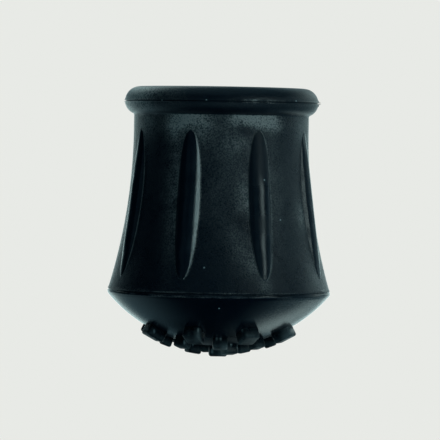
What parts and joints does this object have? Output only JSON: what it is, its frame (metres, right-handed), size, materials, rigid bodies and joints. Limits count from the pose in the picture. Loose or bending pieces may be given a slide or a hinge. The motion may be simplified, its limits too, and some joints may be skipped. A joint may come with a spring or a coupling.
{
  "type": "rubber cane tip",
  "caption": "Moulded black rubber tip for a walking cane: rolled collar round a blind socket, flared barrel with lens-shaped ribs, sharp rim and domed sole with studs.",
  "frame": {"origin": "lowest point of the tread, on the socket's axis", "axes": "+Z along the axis, out of the socket's mouth; -Y faces the viewer, with the ribs set evenly about it"},
  "size_m": [0.036, 0.036, 0.0435],
  "materials": {
    "black_rubber": "satin moulded rubber with a fine grain, cloudy matt patches and light scuffs"
  },
  "bodies": {
    "root": {"rubber_tip": "black_rubber"}
  },
  "joints": []
}
